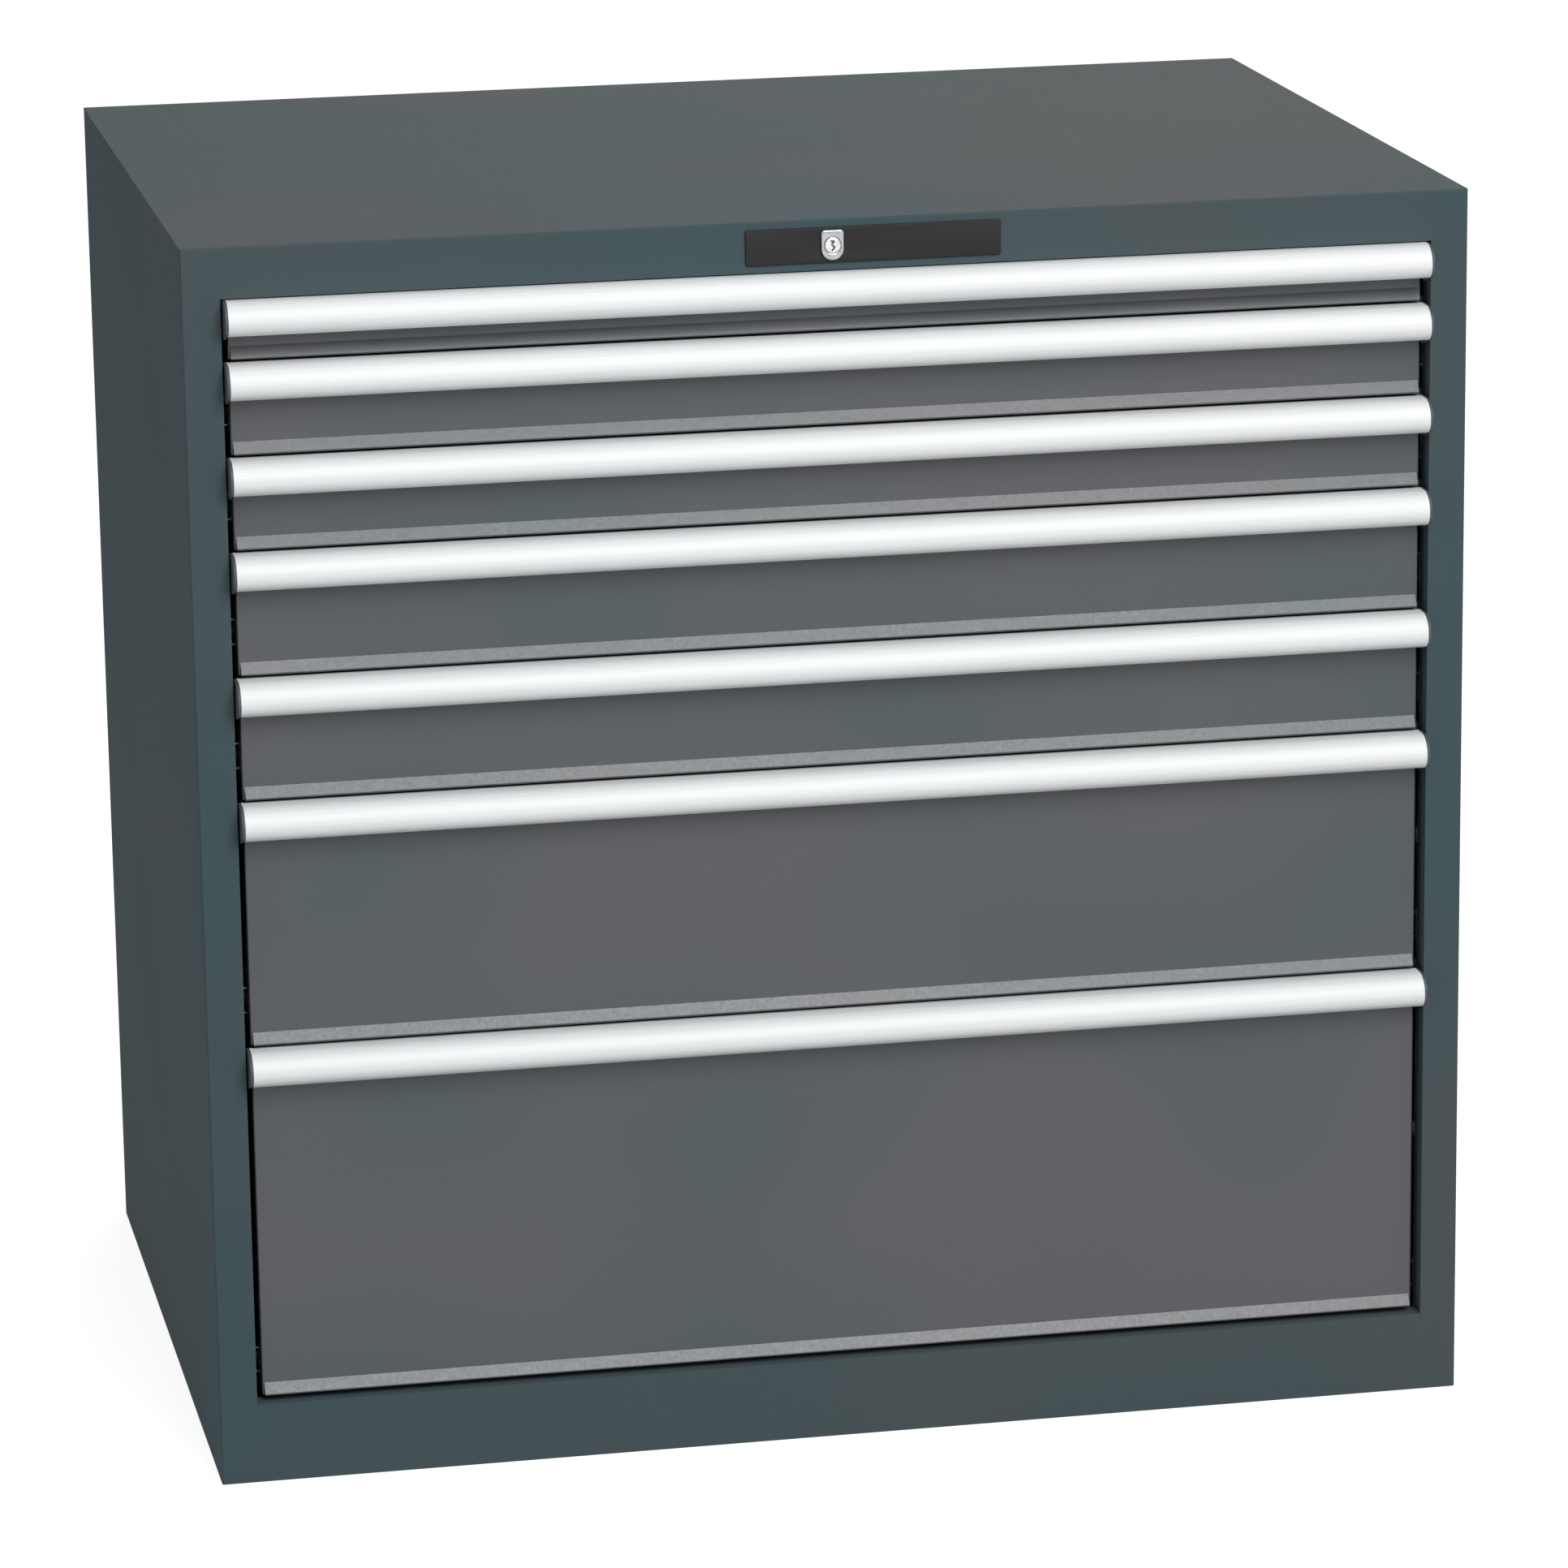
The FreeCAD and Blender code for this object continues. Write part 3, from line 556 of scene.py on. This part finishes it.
uprightShape = {"widthMm": 40, "deepMm": 15, "sheetMm": 1.5, "rasterMm": 25, "slotWideMm": 6,
                "slotHighMm": 12, "edgeMm": 0.5}


# Each upright is a channel on the side skin, with a column of slots on the raster in its web
def makeUprights():
    low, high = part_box("uprights")
    raster = uprightShape["rasterMm"] * mm
    sheet = uprightShape["sheetMm"] * mm
    width = uprightShape["widthMm"] * mm
    slotSize = (uprightShape["slotWideMm"] * mm, uprightShape["slotHighMm"] * mm)
    web = high.x - uprightShape["deepMm"] * mm
    bottomSlot = runnerHeight(drawerCount)
    while bottomSlot - raster / 2 > low.z + raster / 2:
        bottomSlot -= raster
    count = round((high.z - bottomSlot) / raster)
    slotsLow = bottomSlot - raster / 2
    slotsHigh = slotsLow + count * raster
    bm = bmesh.new()
    for y0 in (low.y, high.y - width):
        place = Matrix.Translation((web, y0 + width / 2, (slotsLow + slotsHigh) / 2)) @ faceSide
        addSlottedSheet(bm, (width - 2 * sheet, slotsHigh - slotsLow), (1, count), slotSize, -sheet, place)
        for z0, z1 in ((low.z, slotsLow), (slotsHigh, high.z)):
            addBlock(bm, (web, y0 + sheet, z0), (web + sheet, y0 + width - sheet, z1))
        for y in (y0, y0 + width - sheet):
            addBlock(bm, (web, y, low.z), (high.x, y + sheet, high.z), uprightShape["edgeMm"] * mm)
    mirrorAcross(bm)
    piece = finishPiece(bm, "slottedUprights", "housing", slotOf["uprights"])
    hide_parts("uprights")


makeUprights()
print("uprights ready")


# Lock: cover strip, shield and plug with its keyway

lockCurves = {"cornerSegments": 8, "circleSides": 48, "edgeSegments": 3}
plugLow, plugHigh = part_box("lock_cylinder")
lockX = (plugLow.x + plugHigh.x) / 2
lockZ = (plugLow.z + plugHigh.z) / 2
plugRadius = (plugHigh.x - plugLow.x) / 2


# A plate facing -Y with a round hole for the lock: its box, its corners' radii from the lower left
# one round, and how far its front edges are eased
def addPlate(bm, low, high, radii, holeRadius, edgeBy):
    part = bmesh.new()
    places = ((low.x, low.z), (high.x, low.z), (high.x, high.z), (low.x, high.z))
    outline = [(Vector((x, low.y, z)), radius) for (x, z), radius in zip(places, radii)]
    roundedChain(part, outline, lockCurves["cornerSegments"], closed=True)
    bmesh.ops.create_circle(part, segments=lockCurves["circleSides"], radius=holeRadius,
                            matrix=Matrix.Translation((lockX, low.y, lockZ)) @ faceFront)
    bmesh.ops.triangle_fill(part, edges=part.edges[:], use_beauty=True)
    bmesh.ops.recalc_face_normals(part, faces=part.faces)
    moved = bmesh.ops.extrude_face_region(part, geom=part.faces[:])
    bmesh.ops.translate(part, verts=newVerts(moved), vec=(0, high.y - low.y, 0))
    bmesh.ops.recalc_face_normals(part, faces=part.faces)
    sharp = math.radians(meshLook["sharpDegrees"])
    rims = [edge for edge in edgesAt(part, 1, low.y) if edge.calc_face_angle() > sharp]
    bmesh.ops.bevel(part, geom=rims, offset=edgeBy, segments=lockCurves["edgeSegments"], profile=0.5,
                    affect="EDGES", material=-1)
    addTo(bm, part)


coverShape = {"cornerMm": 1.6, "edgeMm": 0.5, "holeRadiusMm": 9.2}  # the hole clears the lock's barrel


def makeLockCover():
    low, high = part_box("lock_cover")
    bm = bmesh.new()
    addPlate(bm, low, high, [coverShape["cornerMm"] * mm] * 4, coverShape["holeRadiusMm"] * mm,
             coverShape["edgeMm"] * mm)
    piece = finishPiece(bm, "lockCoverStrip", "housing", "cover_plastic")
    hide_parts("lock_cover")


# The foot is two arcs that stop just short of meeting
shieldShape = {"topRadiusMm": 3, "footFlatMm": 0.04, "edgeMm": 1.1, "plugPlayMm": 0.2}


def makeShield():
    low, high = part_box("lock_escutcheon")
    foot = (high.x - low.x - shieldShape["footFlatMm"] * mm) / 2
    top = shieldShape["topRadiusMm"] * mm
    bm = bmesh.new()
    addPlate(bm, low, high, [foot, foot, top, top], plugRadius + shieldShape["plugPlayMm"] * mm,
             shieldShape["edgeMm"] * mm)
    piece = finishPiece(bm, "lockShield", "housing", "escutcheon_chrome")
    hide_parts("lock_escutcheon")


plugShape = {"slopeMm": 1.3, "slopeDeepMm": 0.7, "keywayDeepMm": 14,
             "keywayMm": [(-2.2, 4.2), (0.9, 4.2), (1.5, 2.8), (0.3, 1.3), (0.2, 0.6),
                          (2.0, -0.8), (2.0, -2.2), (-0.6, -4.6), (-1.6, -4.0), (-0.1, -2.1),
                          (-0.1, -1.2), (-1.9, 0.3), (-1.8, 1.6), (-0.6, 2.9), (-2.2, 3.0)]}


# The plug has a sloped edge and a zigzag keyway sunk into its face. It is drawn lying on its back,
# with its face at z = 0, and then turned to the front
def makePlug():
    slope = plugShape["slopeMm"] * mm
    slopeDeep = plugShape["slopeDeepMm"] * mm
    keyDeep = plugShape["keywayDeepMm"] * mm
    length = plugHigh.y - plugLow.y
    widen = plugRadius / (plugRadius - slope)
    bm = bmesh.new()
    bmesh.ops.create_circle(bm, segments=lockCurves["circleSides"], radius=plugRadius - slope)
    verts = newVerts(bmesh.ops.extrude_edge_only(bm, edges=bm.edges[:]))
    bmesh.ops.scale(bm, vec=(widen, widen, 1), verts=verts)
    bmesh.ops.translate(bm, vec=(0, 0, -slopeDeep), verts=verts)
    verts = newVerts(bmesh.ops.extrude_edge_only(bm, edges=edgesAt(bm, 2, -slopeDeep)))
    bmesh.ops.translate(bm, vec=(0, 0, slopeDeep - length), verts=verts)
    bmesh.ops.edgeloop_fill(bm, edges=edgesAt(bm, 2, -length))
    roundedChain(bm, [(Vector((x, y, 0)) * mm, 0) for x, y in plugShape["keywayMm"]], 1, closed=True)
    mouth = [edge for edge in bm.edges if edge.is_wire]
    verts = newVerts(bmesh.ops.extrude_edge_only(bm, edges=mouth))
    bmesh.ops.translate(bm, vec=(0, 0, -keyDeep), verts=verts)
    bmesh.ops.edgeloop_fill(bm, edges=edgesAt(bm, 2, -keyDeep))
    bmesh.ops.triangle_fill(bm, edges=edgesAt(bm, 2, 0), use_beauty=True)
    place = Matrix.Translation((lockX, plugLow.y, lockZ)) @ faceFront
    bmesh.ops.transform(bm, matrix=place, verts=bm.verts)
    piece = finishPiece(bm, "lockPlug", "lock_plug", "lock_metal")
    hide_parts("lock_cylinder")


makeLockCover()
makeShield()
makePlug()
print("lock ready")


# Stage, in metres

stageLook = {"floorSize": 40, "floorCells": 8, "floorTones": ["#a6a8a9", "#adaeaf"],
             "floorCloudMm": 900, "floorRoughness": 0.9, "floorLift": 0.85, "worldLight": 0.21}
white = (1, 1, 1, 1)


# 1 for rays that the camera, a mirror or a glass sends, which see the background plain white
def seenDirectly(tree):
    path = addNode(tree, "ShaderNodeLightPath").outputs
    some = addNode(tree, "ShaderNodeMath", {0: path["Is Camera Ray"], 1: path["Is Glossy Ray"]},
                   operation="MAXIMUM")
    either = addNode(tree, "ShaderNodeMath", {0: some.outputs[0], 1: path["Is Transmission Ray"]},
                     operation="MAXIMUM")
    return either.outputs[0]


def makeFloor():
    bm = bmesh.new()
    cells = stageLook["floorCells"]
    bmesh.ops.create_grid(bm, x_segments=cells, y_segments=cells, size=stageLook["floorSize"] / 2)
    mesh = bpy.data.meshes.new("floor")
    bm.to_mesh(mesh)
    bm.free()
    floor = bpy.data.objects.new("floor", mesh)
    bpy.context.scene.collection.objects.link(floor)
    material, tree, shader = newMaterial("paleFloor")
    cloud = grain(tree, [stageLook["floorCloudMm"]] * 3)
    tree.links.new(blendTones(tree, cloud, wideSpan, *stageLook["floorTones"]), shader.inputs["Base Color"])
    shader.inputs["Roughness"].default_value = stageLook["floorRoughness"]
    shader.inputs["Emission Color"].default_value = white
    lift = addNode(tree, "ShaderNodeMath", {0: seenDirectly(tree), 1: stageLook["floorLift"]},
                   operation="MULTIPLY")
    tree.links.new(lift.outputs[0], shader.inputs["Emission Strength"])
    mesh.materials.append(material)


def makeWorld():
    world = bpy.data.worlds.new("studio")
    world.use_nodes = True
    bpy.context.scene.world = world
    tree = world.node_tree
    tree.nodes.clear()
    level = addNode(tree, "ShaderNodeMapRange", {"Value": seenDirectly(tree), "To Max": 1.0,
                                                 "To Min": stageLook["worldLight"]})
    sky = addNode(tree, "ShaderNodeBackground", {"Color": white, "Strength": level.outputs[0]})
    addNode(tree, "ShaderNodeOutputWorld", {"Surface": sky.outputs[0]})


# A large softbox lights the fronts and handles, a faint cool one the left side, a warm one the back
lampLooks = {
    "keySoftbox": {"place": (1.35, -6.65, 5.45), "aim": (0.0, -0.2, 0.5), "size": (4.8, 5.1), "watts": 560,
                   "tone": "#ffffff"},
    "leftFill": {"place": (-4.2, -1.6, 1.6), "aim": (-0.5, 0.0, 0.6), "size": (1.6, 1.6), "watts": 9,
                 "tone": "#b4e2ee"},
    "backSoftbox": {"place": (1.4, 4.6, 2.7), "aim": (0.0, 0.0, 1.0), "size": (2.6, 1.2), "watts": 80,
                    "tone": "#ffe6dc"},
}


def makeLamps():
    for name, look in lampLooks.items():
        light = bpy.data.lights.new(name, "AREA")
        light.shape = "RECTANGLE"
        light.size, light.size_y = look["size"]
        light.energy = look["watts"]
        light.color = toLinear(look["tone"])[:3]
        lamp = bpy.data.objects.new(name, light)
        lamp.location = look["place"]
        aim = Vector(look["aim"]) - Vector(look["place"])
        lamp.rotation_euler = aim.to_track_quat("-Z", "Y").to_euler()
        bpy.context.scene.collection.objects.link(lamp)


# A long lens, above and to the left of the cabinet
cameraView = {"placeMm": (-1076, -5576.5, 1921), "yaw": 11.15, "pitch": 14.45, "roll": -0.77,
              "focalPixels": 8551, "framePixels": 1932, "sensorMm": 36, "clipEnd": 100}


def makeCamera():
    yaw, pitch, roll = (math.radians(cameraView[key]) for key in ("yaw", "pitch", "roll"))
    forward = Vector((math.sin(yaw) * math.cos(pitch), math.cos(yaw) * math.cos(pitch), -math.sin(pitch)))
    side = Vector((math.cos(yaw), -math.sin(yaw), 0))
    right = side * math.cos(roll) + side.cross(forward) * math.sin(roll)
    up = right.cross(forward)
    data = bpy.data.cameras.new("photoCamera")
    data.sensor_width = cameraView["sensorMm"]
    data.lens = cameraView["focalPixels"] / cameraView["framePixels"] * data.sensor_width
    data.clip_end = cameraView["clipEnd"]
    camera = bpy.data.objects.new("photoCamera", data)
    turned = Matrix((right, up, -forward)).transposed().to_4x4()
    camera.matrix_world = Matrix.Translation(Vector(cameraView["placeMm"]) * mm) @ turned
    bpy.context.scene.collection.objects.link(camera)
    bpy.context.scene.camera = camera


makeFloor()
makeWorld()
makeLamps()
makeCamera()
bpy.context.scene.view_settings.view_transform = "Standard"
print("stage and camera ready")
